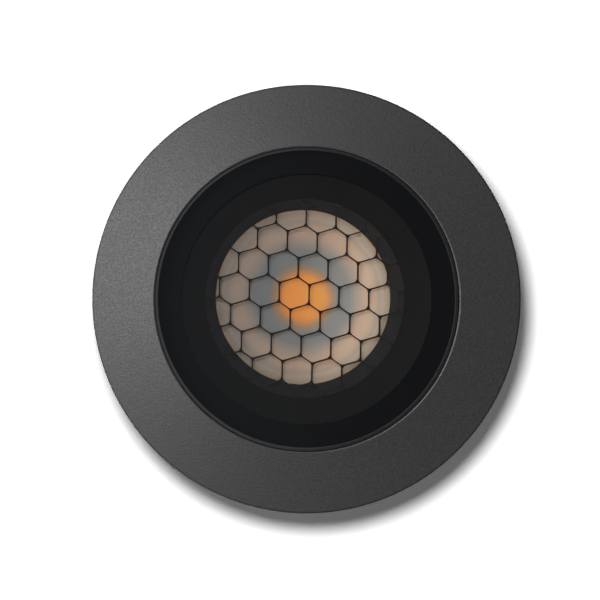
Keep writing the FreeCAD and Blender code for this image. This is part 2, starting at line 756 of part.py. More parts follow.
def lens_side(offset=0.0):
    """Bulging side of the lens as three points from the flange to the foot, moved out by an offset."""
    top = Vec(lens_r + offset, 0, flange_z)
    foot = Vec(lens_foot_r + offset, 0, lens_z)
    along = (foot - top).normalize()
    outward = Vec(-along.z, 0, along.x)
    return top, (top + foot) * 0.5 + outward * LENS_BULGE, foot


def lens_room():
    """Room that the clamp and the holder leave for the side of the lens."""
    top, middle, foot = lens_side(HOLDER_GAP)
    top_centre = Vec(0, 0, flange_z)
    foot_centre = Vec(0, 0, lens_z)
    edges = [
        Part.LineSegment(top_centre, top),
        Part.Arc(top, middle, foot),
        Part.LineSegment(foot, foot_centre),
        Part.LineSegment(foot_centre, top_centre),
    ]
    return Part.Face(Part.Wire([e.toShape() for e in edges])).revolve(ORIGIN, UP, 360)


def lens():
    """Collimator lens: flat face, flange, bulging side and a domed pocket over the LED."""
    top, middle, foot = lens_side()
    corner = Vec(lens_flange_r, 0, flange_z)
    rim = Vec(lens_flange_r, 0, lens_top_z)
    centre = Vec(0, 0, lens_top_z)
    dome_top = Vec(0, 0, lens_z + LENS_POCKET_H)
    dome_foot = Vec(lens_pocket_r, 0, lens_z + LENS_POCKET_H - LENS_DOME_H)
    dome_r = (lens_pocket_r ** 2 + LENS_DOME_H ** 2) / (2 * LENS_DOME_H)
    dome_half = math.asin(lens_pocket_r / dome_r) / 2
    dome_side = dome_top + Vec(math.sin(dome_half), 0, math.cos(dome_half) - 1) * dome_r
    pocket_foot = Vec(lens_pocket_r, 0, lens_z)
    edges = [
        Part.LineSegment(centre, rim),
        Part.LineSegment(rim, corner),
        Part.LineSegment(corner, top),
        Part.Arc(top, middle, foot),
        Part.LineSegment(foot, pocket_foot),
        Part.LineSegment(pocket_foot, dome_foot),
        Part.Arc(dome_foot, dome_side, dome_top),
        Part.LineSegment(dome_top, centre),
    ]
    return Part.Face(Part.Wire([e.toShape() for e in edges])).revolve(ORIGIN, UP, 360)


def lens_holder():
    """Black cup between the lens and the can, standing on the clamp."""
    cup = tube(lens_foot_r + HOLDER_GAP, spigot_r, clamp_top_z, lens_top_z)
    seat = post(lens_flange_r + FIT_GAP, flange_z, lens_top_z)
    return cup.cut([lens_room(), seat])


def towards(length, angle):
    """Level vector of a length, in a direction in degrees."""
    return Vec(length * math.cos(math.radians(angle)), length * math.sin(math.radians(angle)), 0)


def inset(corners, distance):
    """Level convex outline with each side moved inwards. Its corners run counter-clockwise."""
    moved = []
    for i, here in enumerate(corners):
        arrival = (here - corners[i - 1]).normalize()
        departure = (corners[(i + 1) % len(corners)] - here).normalize()
        moved.append(here + (departure - arrival) * (distance / arrival.cross(departure).z))
    return moved


def louvre():
    """Honeycomb louvre: one disc with rounded six-sided cells, cut off at a thin rim."""
    base = Vec(0, 0, louvre_z)
    disc = Part.Face(Part.Wire(Part.makeCircle(louvre_r, base)))
    opening = Part.Face(Part.Wire(Part.makeCircle(cells_r, base)))
    upright = towards(CELL_POST_L, CELL_POST_ANGLE)
    rise = towards(CELL_RISE_L, CELL_RISE_ANGLE)
    fall = towards(CELL_FALL_L, CELL_FALL_ANGLE)
    along = rise + fall
    across = rise + upright
    reach = math.ceil(2 * cells_r / along.Length)
    margin = CELL_POST_L + CELL_RISE_L + CELL_FALL_L
    cells = []
    for i in range(-reach, reach + 1):
        for j in range(-reach, reach + 1):
            corners = [along * i + across * j + Vec(CELL_CORNER_X, CELL_CORNER_Y, 0)]
            if math.hypot(corners[0].x, corners[0].y) > cells_r + margin:
                continue
            for side in (-rise, -upright, fall, rise, upright):
                corners.append(corners[-1] + side)
            outline = [(corner.x, corner.y, CELL_ROUND) for corner in inset(corners, CELL_WALL / 2)]
            cell = Part.Face(closed_wire(outline))
            cell.rotate(ORIGIN, Vec(1, 0, 0), -90)  # from the upright plane of turned profiles to level
            cell.translate(base)
            cell = cell.common(opening)
            if cell.Area > LEAST_CELL:
                cells.append(cell)
    return disc.cut(cells).Faces[0].extrude(UP * LOUVRE_H)


def lens_hood():
    """Tapered black tube that holds the louvre off the lens."""
    return turned([
        (cells_r, louvre_z),
        (lens_r + HOOD_GAP, lens_top_z),
        (louvre_r, lens_top_z),
        (louvre_r, louvre_z),
    ])


def front_bezel():
    """Black flared front of the lamp head: a lip over the louvre, and a spigot round the hood and in the can."""
    return turned([
        (bezel_r, can_top_z),
        (bezel_r, head_z, BEZEL_EDGE_W / 2),
        (mouth_r, head_z),
        (lip_r + BEZEL_THROAT_W, throat_z),
        (lip_r, louvre_top_z + BEZEL_LIP_T),
        (lip_r, louvre_top_z),
        (pocket_r, louvre_top_z),
        (pocket_r, lens_top_z),
        (spigot_r, lens_top_z),
        (spigot_r, can_top_z),
    ])


def placed(shape, radius, angle):
    """A shape made at the origin, moved out along X and turned about Z."""
    copy = shape.copy()
    copy.translate(Vec(radius, 0, 0))
    return about_z(copy, angle)


def driver_board():
    """Round circuit board with a hole for the cable."""
    board = tube(BOARD_HOLE_D / 2, board_r, board_z, board_top_z)
    hole_r = BOARD_SCREW_D / 2 + RUN_GAP
    return board.cut([post(hole_r, board_z, board_top_z, x, y) for x, y in board_screw_places()])


def driver_inductor():
    """Drum-core inductor."""
    radius = INDUCTOR_D / 2
    waist_r = radius - INDUCTOR_WAIST
    top_z = board_top_z + INDUCTOR_H
    drum = turned([
        (0, board_top_z),
        (radius, board_top_z),
        (radius, board_top_z + INDUCTOR_FLANGE_T),
        (waist_r, board_top_z + INDUCTOR_FLANGE_T),
        (waist_r, top_z - INDUCTOR_FLANGE_T),
        (radius, top_z - INDUCTOR_FLANGE_T),
        (radius, top_z),
        (0, top_z),
    ])
    return placed(drum, part_r + radius, INDUCTOR_ANGLE)


def driver_capacitor():
    """Upright can capacitor with its crimp."""
    radius = CAPACITOR_D / 2
    top_z = board_top_z + CAPACITOR_H
    crimp_z = board_top_z + CAPACITOR_H / 5
    can = turned([
        (0, board_top_z),
        (radius, board_top_z),
        (radius, crimp_z - CAPACITOR_GROOVE),
        (radius - CAPACITOR_GROOVE, crimp_z),
        (radius, crimp_z + CAPACITOR_GROOVE),
        (radius, top_z, CAPACITOR_ROUND),
        (0, top_z),
    ])
    return placed(can, part_r + radius, CAPACITOR_ANGLE)


def terminal_block():
    """Two-way screw terminal for the cable."""
    top_z = board_top_z + TERMINAL_H
    body = block(TERMINAL_W, TERMINAL_L, board_top_z, top_z)
    wire_z = board_top_z + TERMINAL_H / 3
    for side in (-1, 1):
        y = side * TERMINAL_PITCH / 2
        screw_hole = post(TERMINAL_SCREW_D / 2, top_z - TERMINAL_SCREW_DEPTH, top_z, 0, y)
        wire_hole = Part.makeCylinder(TERMINAL_WIRE_D / 2, TERMINAL_WIRE_DEPTH, Vec(-TERMINAL_W / 2, y, wire_z),
                                      Vec(1, 0, 0))
        body = body.cut([screw_hole, wire_hole])
    return placed(body, part_r + TERMINAL_W / 2, TERMINAL_ANGLE)


def driver_chips():
    """Flat chips between the larger components, one inside each screw."""
    chip = block(CHIP_L, CHIP_W, board_top_z, board_top_z + CHIP_H)
    return Part.makeCompound([placed(chip, part_r + CHIP_L / 2, a) for a in board_screw_angles()])


def board_screws():
    """Screws that hold the board on its standoffs."""
    screws = []
    for x, y in board_screw_places():
        head = post(BOARD_SCREW_HEAD_D / 2, board_top_z, board_top_z + BOARD_SCREW_HEAD_T, x, y)
        shank = post(BOARD_SCREW_D / 2, board_z - BOARD_SCREW_DEPTH, board_top_z, x, y)
        screws.append(joined(head, shank))
    return Part.makeCompound(screws)


def gland_body():
    """Hexagonal body of the gland, with the thread through the floor and the socket for the seal."""
    thread_top_z = locknut_top_z + GLAND_THREAD_END
    sleeve = turned([
        (gland_stop_r, thread_top_z),
        (gland_stop_r, gland_flange_z),
        (gland_bore_r, gland_flange_z),
        (gland_bore_r, gland_z),
        (gland_r, gland_z),
        (gland_r, thread_top_z),
    ])
    flange = hex_prism(GLAND_HEX, gland_flange_z, gland_flange_top_z)
    flange = flange.cut(post(gland_stop_r + GLAND_STOP_W / 2, gland_flange_z, gland_flange_top_z))
    return joined(sleeve, flange)


def gland_seal():
    """Rubber sleeve that grips the cable."""
    return tube(cable_bore_r, gland_seal_r, gland_z, gland_flange_z)


def gland_washer():
    """Flat seal between the gland and the floor of the pot."""
    return tube(gland_hole_r, gland_hole_r + GLAND_WASHER_W, gland_flange_top_z, pot_z)


def gland_locknut():
    """Hexagonal nut inside the pot."""
    nut = hex_prism(LOCKNUT_HEX, pot_floor_z, locknut_top_z)
    return nut.cut(post(gland_r + FIT_GAP, pot_floor_z, locknut_top_z))


def gland_dome_nut():
    """Domed nut that squeezes the seal."""
    hood = turned([
        (dome_bore_r, dome_top_z),
        (dome_bore_r, gland_z),
        (cable_bore_r + CABLE_MOUTH_GAP, gland_z),
        (cable_bore_r + CABLE_MOUTH_GAP, dome_z),
        (dome_r, dome_z, DOME_ROUND),
        (dome_r, dome_top_z),
    ])
    grip = hex_prism(DOME_HEX, dome_top_z - DOME_HEX_L, dome_top_z)
    return joined(hood, grip.cut(post(dome_bore_r + DOME_WALL / 2, dome_top_z - DOME_HEX_L, dome_top_z)))


def ground_sleeve():
    """Sleeve that stays in the paving: flange, grooved wall, bottom lip and two slots for the cable."""
    corners = [
        (sleeve_bore_r, SLEEVE_FLANGE_T),
        (sleeve_bore_r, grid_z),
        (sleeve_bore_r - SLEEVE_LIP_W, grid_z),
        (sleeve_bore_r - SLEEVE_LIP_W, sleeve_z),
        (sleeve_r, sleeve_z),
    ]
    for i in reversed(range(SLEEVE_GROOVE_COUNT)):
        top_z = -SLEEVE_PLAIN_L - i * SLEEVE_GROOVE_PITCH
        low_z = top_z - SLEEVE_GROOVE_H
        corners += [(sleeve_r, low_z), (sleeve_r - SLEEVE_GROOVE_DEPTH, low_z + SLEEVE_GROOVE_DEPTH),
                    (sleeve_r - SLEEVE_GROOVE_DEPTH, top_z - SLEEVE_GROOVE_DEPTH), (sleeve_r, top_z)]
    corners += [(sleeve_r, 0), (sleeve_flange_r, 0), (sleeve_flange_r, SLEEVE_FLANGE_T)]
    slot_start_x = sleeve_bore_r / 2
    slot_l = 2 * sleeve_r - slot_start_x
    arch_z = sleeve_z + SLOT_H - SLOT_W / 2
    straight = Part.makeBox(slot_l, SLOT_W, arch_z - sleeve_z, Vec(slot_start_x, -SLOT_W / 2, sleeve_z))
    arch = Part.makeCylinder(SLOT_W / 2, slot_l, Vec(slot_start_x, 0, arch_z), Vec(1, 0, 0))
    return turned(corners).cut(around(straight, SLOT_COUNT) + around(arch, SLOT_COUNT))


def drain_grid():
    """Disc in the bottom of the sleeve that keeps gravel out, with a hole for the cable and drain slots."""
    outer_r = sleeve_bore_r - GRID_GAP
    disc = tube(GRID_HOLE_D / 2, outer_r, grid_z, grid_top_z)
    start_r = GRID_HOLE_D / 2 + GRID_SLOT_MARGIN + GRID_SLOT_W / 2
    end_r = sleeve_bore_r - SLEEVE_LIP_W - GRID_SLOT_MARGIN - GRID_SLOT_W / 2
    slot = joined(
        block(end_r - start_r, GRID_SLOT_W, grid_z, grid_top_z, (start_r + end_r) / 2),
        post(GRID_SLOT_W / 2, grid_z, grid_top_z, start_r),
        post(GRID_SLOT_W / 2, grid_z, grid_top_z, end_r),
    )
    return disc.cut(around(slot, GRID_SLOT_COUNT, 180.0 / GRID_SLOT_COUNT))


PIECES = [
    ground_sleeve, drain_grid,
    housing, bumper_ring, retaining_springs, spring_screws, swivel_glide, swivel_retainer,
    driver_board, driver_inductor, driver_capacitor, driver_chips, terminal_block, board_screws,
    gland_body, gland_seal, gland_washer, gland_locknut, gland_dome_nut,
    front_seal, trim_ring, glass, glass_gasket,
    swivel_ring,
    lamp_can, pivot_pins, pivot_washers, thermal_pad, led_carrier, led_disc, led_clamp, clamp_screws,
    lens, lens_holder, lens_hood, louvre, front_bezel,
]


def main():
    os.makedirs("parts", exist_ok=True)
    for make in PIECES:
        shape = make()
        for solid in shape.Solids:
            if solid.Volume <= 0 or not solid.isValid():
                raise RuntimeError(f"{make.__name__} holds a solid that isn't sound")
        shape.exportStep(f"parts/{make.__name__}.step")
        print(f"{make.__name__}: {len(shape.Solids)} solid(s), {shape.Volume:.1f} mm3")
    print(f"trim ring radius {trim_r:.4f}, sleeve radius {sleeve_r:.4f}, sleeve foot at {sleeve_z:.4f}")
    print(f"tilt axis at {pivot_z:.4f}")
    print(f"cable bore radius {cable_bore_r:.3f}, from {gland_z:.4f} to {gland_flange_z:.4f}")
    print(f"gland ends at {dome_z:.4f}, drain grid from {grid_z:.4f} to {grid_top_z:.4f}")


main()
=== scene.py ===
import json
import math

import bmesh
import bpy
from mathutils import Matrix, Vector


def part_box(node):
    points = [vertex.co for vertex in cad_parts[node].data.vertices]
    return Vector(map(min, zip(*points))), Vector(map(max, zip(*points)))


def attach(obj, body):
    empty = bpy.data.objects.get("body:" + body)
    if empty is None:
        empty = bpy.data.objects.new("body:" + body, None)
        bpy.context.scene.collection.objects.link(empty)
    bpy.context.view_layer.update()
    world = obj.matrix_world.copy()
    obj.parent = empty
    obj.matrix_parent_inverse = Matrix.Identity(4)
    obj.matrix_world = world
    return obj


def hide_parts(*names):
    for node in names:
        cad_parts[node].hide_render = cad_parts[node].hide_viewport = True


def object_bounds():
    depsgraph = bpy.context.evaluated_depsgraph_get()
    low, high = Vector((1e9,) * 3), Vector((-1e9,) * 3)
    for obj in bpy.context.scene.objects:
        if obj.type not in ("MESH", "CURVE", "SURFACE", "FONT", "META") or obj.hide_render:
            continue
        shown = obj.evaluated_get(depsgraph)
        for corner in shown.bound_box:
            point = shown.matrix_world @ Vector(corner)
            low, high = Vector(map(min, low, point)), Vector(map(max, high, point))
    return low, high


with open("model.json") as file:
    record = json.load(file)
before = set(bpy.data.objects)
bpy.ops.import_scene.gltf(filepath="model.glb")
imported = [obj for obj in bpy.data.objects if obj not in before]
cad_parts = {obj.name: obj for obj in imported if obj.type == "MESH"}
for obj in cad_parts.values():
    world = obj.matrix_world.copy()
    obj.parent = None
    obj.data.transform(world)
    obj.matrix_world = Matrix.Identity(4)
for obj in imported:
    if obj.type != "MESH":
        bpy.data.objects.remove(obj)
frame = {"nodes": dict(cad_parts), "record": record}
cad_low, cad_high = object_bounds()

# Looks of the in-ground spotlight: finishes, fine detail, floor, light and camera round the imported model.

MM = 0.001
FLAT = 90.0  # degrees, lean of a level direction


def corners_mm(node):
    """Lowest and highest corner of a node, in millimetres."""
    return [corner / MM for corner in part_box(node)]


# The photograph's frame, in its own pixels
PHOTO_W = 600
RING_PX = 214.4  # radius of the trim ring's outer edge
RING_X_PX = 306.8  # its centre
RING_Y_PX = 299.3

# Camera
SENSOR = 36.0  # millimetres
CAMERA_H = 700 * MM  # above the paving
CAMERA_LEAN_X = -1.35  # degrees off the vertical, to the left
CAMERA_LEAN_Y = 0.75  # degrees off the vertical, to the top

# Light, in metres, with levels as shares of full white
KEY_LEVEL = 0.95  # on a surface that faces the lamp
KEY_DIRECTION = 118.0  # degrees from +X, seen from above
KEY_OFFSET = 19.6 * MM  # beside the camera's line of sight
KEY_REACH = 0.9  # how far along that line it is, from the ring to the camera
KEY_W = 22 * MM
BOX_LEVEL = 1.33
BOX_DIRECTION = 164.0
BOX_LEAN = 29.0  # degrees off the vertical
BOX_DISTANCE = 1.5
BOX_W = 0.8
SKY_ZENITH = 0.05
SKY_HORIZON = 0.72
SKY_SWING = 0.28  # the sky is this much paler on the side of the softbox
SKY_BACKDROP = 0.94
SKY_WALLS = 0.25  # height on the unit sphere of the walls that metal and glass mirror
WALL_PALE = 0.94  # the wall on the side of the softbox
WALL_DARK = 0.15  # the wall across from it
SKY_DARK_CAP = 0.64  # height on the unit sphere where the sky has gone dark

# Floor
FLOOR_R = 3.0  # metres
FLOOR_SIDES = 96
FLOOR_NEAR = 90.0  # millimetres, further out the floor fades into the backdrop
FLOOR_FAR = 420.0
FLOOR_ALBEDO = 0.8
FLOOR_SEEN = 1.3  # the floor's colour in the picture, pale enough to come out white

# Screws, in millimetres, with their profile as shares of the shank's and the head's sizes
SCREW_SIDES = 72
SCREW_PITCH = 0.4  # share of the shank's radius
SCREW_THREADED = 0.7  # shares of its length
SCREW_PLAIN = 0.2
SCREW_ROOT = 0.84  # shares of its radius, between the ridges and at the tip
SCREW_TIP = 0.6
SCREW_TIP_L = 0.4  # shares of the pitch
SCREW_CREST_START = 0.4
SCREW_CREST_END = 0.6
SCREW_HEAD = ((0.0, 0.96), (0.12, 1.0), (0.55, 0.98), (0.85, 0.86), (1.0, 0.62))  # heights and radii
SCREW_RECESS = ((1.0, 0.46), (0.9, 0.42), (0.35, 0.40))
SCREW_LOBES = 6
SCREW_LOBE_DEPTH = 0.14
SPRING_SCREW = {"head_r": 1.5, "head_t": 0.7, "shank_r": 0.8, "shank_l": 1.8}
BOARD_SCREW = {"head_r": 2.2, "head_t": 1.6, "shank_r": 1.2, "shank_l": 5.6}
CLAMP_SCREW = {"head_r": 1.7, "head_t": 1.2, "shank_r": 1.0, "shank_l": 3.2}
TRIO = (90.0, 210.0, 330.0)  # degrees, directions of the springs and of the board's screws

# Trim ring, in millimetres
TRIM_R = corners_mm("trim_ring")[1].x
TRIM_FOOT_Z = 0.25
TRIM_EDGE_Z = 1.7  # where it is widest
TRIM_EDGE_ROUND = 0.15
SKIRT_WALL = 1.4
SLEEVE_FLANGE_T = 1.0
RIM_Z = 3.74  # where the cone would meet the wall inside the rim
RIM_BEVEL_W = 0.18
RIM_BEVEL_H = 0.07
RIM_ROUND = 0.04
GLASS_R = corners_mm("glass")[1].x
REBATE_GAP = 0.1  # round the glass
GASKET_W = 3.6
LEDGE_TOP_Z = corners_mm("glass_gasket")[0].z
LEDGE_T = 1.8
LEDGE_SETBACK = 0.3
BARREL_Z = corners_mm("trim_ring")[0].z  # its lower end
BARREL_WALL = 1.75
BARREL_EDGE = 0.4

# Neck of the pot, in millimetres
POT_R = corners_mm("housing")[1].x
NECK_MARGIN = 0.15  # the neck is this much wider than its seal, on each side
NECK_R = corners_mm("front_seal")[1].x + NECK_MARGIN
NECK_TOP_Z = corners_mm("front_seal")[0].z
SHOULDER_GAP = 0.3  # between the barrel and the shoulder of the pot

# Thread of the ring and the neck, in millimetres, with its widths as shares of the pitch
THREAD_PITCH = 1.5
THREAD_GAP = 0.1
THREAD_FLANK = 0.16
THREAD_RIDGE = 0.30
THREAD_GROOVE = 0.42
THREAD_RIDGE_H = 0.3
THREAD_GROOVE_DEPTH = 0.45
THREAD_FADE = 0.5  # length over which it runs out
THREAD_SINK = 0.02  # root of the ridge inside the neck
THREAD_STEPS = 12  # rows of the mesh for each pitch
BORE_R = NECK_R + THREAD_GAP

# Meshes
RING_SIDES = 288
ROUND_STEPS = 8
ROUND_MARGIN = 0.05  # millimetres, strip beside each round that keeps the flat next to it flat
SHARP_ANGLE = 35.0  # degrees, steeper edges are shaded sharp

# Finishes, with sizes in millimetres and swings of colour as shares
NOISE_LOW = 0.3  # most of a noise lies between these
NOISE_HIGH = 0.7
COAT_GRAIN = 0.28
COAT_GRAIN_DEPTH = 0.026
COAT_PEEL = 0.9
COAT_PEEL_DEPTH = 0.01
COAT_FLAKE = 0.24
COAT_CLOUD = 9.0
COAT_CLOUDED = 0.2  # share of the clouds in the mottling, the rest is grain
COAT_SWING = 0.09
COAT_SPECKS = {"spacing": 1.7, "size": 0.11}
COAT_DUST = 3.2  # brightness, as times the coat's
# Painted shade along the coat's outer edge: its colour darkens to this share of the coat's
COAT_EDGE_SHADE = 0.15
COAT_EDGE = 0.3  # the painted dark edge reaches this close to the outer edge
COAT_EDGE_FADE = 0.12
MOULD_FLOW = 6.0
MOULD_RUBBED = 3.5
MOULD_SWING = 0.28
METAL_DULL = 2.6
METAL_LINE_DEPTH = 0.004

# Glass, in millimetres
GLASS_EDGE = 0.35
GLASS_SMEAR = 14.0
GLASS_FROST = 0.12
GLASS_SPECKS = {"spacing": 2.3, "size": 0.05}
# Dust film on the glass, heavier at -X; with the ground edge's tint it also paints that side paler, as light
# would
FILM_DUSTY_PALE_X = -12.0
FILM_CLEAN_DARK_X = 20.0
FILM_WAVER = 8.0
FILM_MOST = 0.0085  # share of the glass that fine dust covers on its dusty, painted-pale side
FILM_LEAST = 0.0002

# Lens, with the colours of its zones by shares of its radius
LENS_R = 12.5  # millimetres
LENS_SCATTER = 5 * MM
LENS_WAVER = 0.05  # of the zones' edges, as a share of the radius
LENS_WAVER_SIZE = 3.0
LENS_STEPS = 14.0  # its moulded steps, as radians for each millimetre
AMBER = (1.45, 0.555, 0.135)
GREY = (0.47, 0.44, 0.405)
WARM = (0.87, 0.605, 0.44)
LENS_ZONES = (
    (0.0, AMBER), (0.24, AMBER), (0.34, (0.72, 0.45, 0.27)), (0.40, GREY), (0.54, GREY),
    (0.72, WARM), (0.80, WARM), (0.885, (0.66, 0.50, 0.385)), (0.91, (0.76, 0.55, 0.41)),
    (0.965, (0.64, 0.49, 0.375)), (1.0, (0.80, 0.49, 0.31)),
)
# Painted shade on the lens: its colour is darker towards -X and paler towards +X, as the light falls.
LENS_SIDE_X = 12.0  # millimetres, painted shade from the darker side at -X to the paler one at +X
LENS_SIDE_TURN = 0.1
LENS_PAINTED_SHADE = ((0.0, (0.46, 0.50, 0.55)), (0.5, (0.64, 0.65, 0.67)), (1.0, (1.0, 1.0, 1.0)))
# Painted glow: the lens core gives off amber light of its own, though it is no lamp.
PHOSPHOR = (1.0, 0.42, 0.10)  # colour of the painted glow at the lens core, the amber a phosphor gives back under blue light
PAINTED_GLOW = 0.1
PAINTED_GLOW_ZONES = ((0.0, PHOSPHOR), (0.18, PHOSPHOR), (0.33, (0, 0, 0)))


class Finish:
    """A procedural material: a Principled shader and the nodes that feed it, in millimetres of the object."""

    def __init__(self, name, **constants):
        self.material = bpy.data.materials.new(name)
        self.material.use_nodes = True
        self.tree = self.material.node_tree
        self.shader = self.tree.nodes["Principled BSDF"]
        self.output = self.tree.nodes["Material Output"]
        for socket, value in constants.items():
            self.shader.inputs[socket.replace("_", " ")].default_value = value
        metres = self.add("TexCoord").outputs["Object"]
        self.place = self.add("VectorMath", {"operation": "SCALE"}, Vector=metres, Scale=1 / MM).outputs[0]
        self.axes = self.add("SeparateXYZ", Vector=self.place).outputs

    def add(self, kind, settings=None, **inputs):
        """Adds a node. Its inputs are named by socket, and hold a value or another node's output."""
        node = self.tree.nodes.new("ShaderNode" + kind)
        for name, value in (settings or {}).items():
            setattr(node, name, value)
        for name, value in inputs.items():
            self.put(node.inputs[name.replace("_", " ")], value)
        return node

    def put(self, socket, value):
        """Gives a socket a value or another node's output."""
        if isinstance(value, bpy.types.NodeSocket):
            self.tree.links.new(value, socket)
        else:
            socket.default_value = value

    def feed(self, **inputs):
        """Feeds the shader."""
        for name, value in inputs.items():
            self.put(self.shader.inputs[name.replace("_", " ")], value)

    def math(self, operation, *values):
        """One arithmetic step."""
        node = self.tree.nodes.new("ShaderNodeMath")
        node.operation = operation
        for socket, value in zip(node.inputs, values):
            self.put(socket, value)
        return node.outputs[0]

    def radius(self):
        """Distance from the object's axis."""
        squares = [self.math("POWER", axis, 2.0) for axis in self.axes[:2]]
        return self.math("SQRT", self.math("ADD", *squares))

    def noise(self, size, detail=2.0, stretch=(1, 1, 1)):
        """Noise from 0 to 1 with features of about this size."""
        scaled = self.add("VectorMath", {"operation": "DIVIDE"}, Vector=self.place)
        scaled.inputs[1].default_value = [size * s for s in stretch]
        return self.add("TexNoise", Vector=scaled.outputs[0], Scale=1.0, Detail=detail).outputs["Fac"]

    def specks(self, spacing, size):
        """Small round specks: 1 in a speck and 0 outside."""
        cells = self.add("TexVoronoi", Vector=self.place, Scale=1 / spacing)
        return self.span(cells.outputs["Distance"], size / spacing, 0.4 * size / spacing, 0.0, 1.0)

    def span(self, value, low, high, to_low, to_high):
        """Maps a range to another one, smoothly and with ends that hold."""
        node = self.add("MapRange", {"interpolation_type": "SMOOTHSTEP"}, Value=value)
        for name, number in (("From Min", low), ("From Max", high), ("To Min", to_low), ("To Max", to_high)):
            self.put(node.inputs[name], number)
        return node.outputs[0]

    def spread(self, noise, to_low, to_high):
        """Maps the part of a noise where most of it lies to a range."""
        return self.span(noise, NOISE_LOW, NOISE_HIGH, to_low, to_high)

    def mean(self, first, second, share):
        """Mean of two values, with the first one's share of it."""
        return self.math("MULTIPLY_ADD", first, share, self.math("MULTIPLY", second, 1 - share))

    def ramp(self, value, *stops):
        """Colours along a value, as (place from 0 to 1, colour)."""
        node = self.add("ValToRGB", Fac=value)
        points = node.color_ramp.elements
        while len(points) < len(stops):
            points.new(1.0)
        for point, (place, colour) in zip(points, stops):
            point.position = place
            point.color = (*colour, 1)
        return node.outputs["Color"]

    def tint(self, share, low, high):
        """A colour between two, by a share from 0 to 1."""
        return self.ramp(share, (0.0, low), (1.0, high))

    def swing(self, share, colour, amount):
        """A colour that gets darker and paler by an amount, by a share from 0 to 1."""
        return self.tint(share, shade(colour, 1 - amount), shade(colour, 1 + amount))

    def blend(self, share, first, second, kind="MIX"):
        """A mix of two colours that vary."""
        node = self.add("Mix", {"data_type": "RGBA", "blend_type": kind})
        for socket, value in zip((node.inputs[0], node.inputs[6], node.inputs[7]), (share, first, second)):
            self.put(socket, value)
        return node.outputs[2]

    def mix(self, share, first, second):
        """A mix of two shaders."""
        node = self.add("MixShader", Fac=share)
        for socket, shader in zip(node.inputs[1:], (first, second)):
            self.tree.links.new(shader.outputs[0], socket)
        return node

    def show(self, shader):
        """Gives the surface a shader other than the Principled one alone."""
        self.tree.links.new(shader.outputs[0], self.output.inputs["Surface"])

    def bump(self, height, depth, after=None):
        """Adds relief of this depth in millimetres, on top of earlier relief."""
        node = self.add("Bump", Height=height, Strength=1.0, Distance=depth * MM)
        if after:
            self.put(node.inputs["Normal"], after)
        return node.outputs[0]


def shade(colour, factor):
    """A colour made darker or paler."""
    return tuple(min(1.0, c * factor) for c in colour)


def coated(name, colour, roughness, specular, edge_r):
    """Powder coat: fine grain, orange peel, clouds, pale specks of dust and a dark outer edge painted on as
    shade.
    """
    finish = Finish(name, Specular_IOR_Level=specular, IOR=1.6)
    grain = finish.noise(COAT_GRAIN, 1.0)
    peel = finish.noise(COAT_PEEL, 1.0)
    cloud = finish.noise(COAT_CLOUD, 3.0)
    flakes = finish.noise(COAT_FLAKE, 1.0)
    body = finish.swing(finish.spread(finish.mean(cloud, grain, COAT_CLOUDED), 0.0, 1.0), colour, COAT_SWING)
    dust = finish.math("MULTIPLY", finish.specks(**COAT_SPECKS), finish.span(cloud, 0.5, 0.75, 0.0, 0.55))
    dusty = finish.blend(dust, body, (*shade(colour, COAT_DUST), 1))
    # Painted shade: the colour darkens to near black along the outer edge.
    edge = edge_r - COAT_EDGE
    painted_edge_shade = finish.span(finish.radius(), edge, edge + COAT_EDGE_FADE, 0.0, 1.0)
    finish.feed(Base_Color=finish.blend(painted_edge_shade, dusty, (*shade(colour, COAT_EDGE_SHADE), 1)),
                Roughness=finish.spread(grain, roughness - 0.03, roughness + 0.04),
                Metallic=finish.span(flakes, 0.35, 0.65, 0.12, 0.28),
                Normal=finish.bump(grain, COAT_GRAIN_DEPTH, finish.bump(peel, COAT_PEEL_DEPTH)))
    return finish.material


def moulded(name, colour, roughness, grain_size=0.3, depth=0.012, stretch=(1, 1, 1), **constants):
    """Moulded plastic or rubber: fine grain, faint flow marks and rubbed patches."""
    finish = Finish(name, **constants)
    grain = finish.noise(grain_size, 3.0)
    flow = finish.noise(MOULD_FLOW, 2.0, stretch)
    rubbed = finish.span(finish.noise(MOULD_RUBBED, 4.0), 0.52, 0.7, 0.0, 1.0)
    finish.feed(Base_Color=finish.swing(finish.mean(grain, flow, 0.5), colour, MOULD_SWING),
                Roughness=finish.span(rubbed, 0.0, 1.0, roughness, roughness - 0.04),
                Normal=finish.bump(grain, depth, finish.bump(flow, 1.5 * depth)))
    return finish.material


def metal(name, colour, roughness, stretch, line=0.08):
    """Bare metal: fine lines along the way it was worked, and dull patches."""
    finish = Finish(name, Metallic=1.0)
    lines = finish.noise(line, 3.0, stretch)
    dull = finish.noise(METAL_DULL, 4.0)
    worn = finish.mean(lines, dull, 0.7)
    finish.feed(Base_Color=finish.tint(worn, shade(colour, 0.88), shade(colour, 1.1)),
                Roughness=finish.span(dull, 0.35, 0.7, roughness - 0.03, roughness + 0.04),
                Normal=finish.bump(lines, METAL_LINE_DEPTH))
    return finish.material


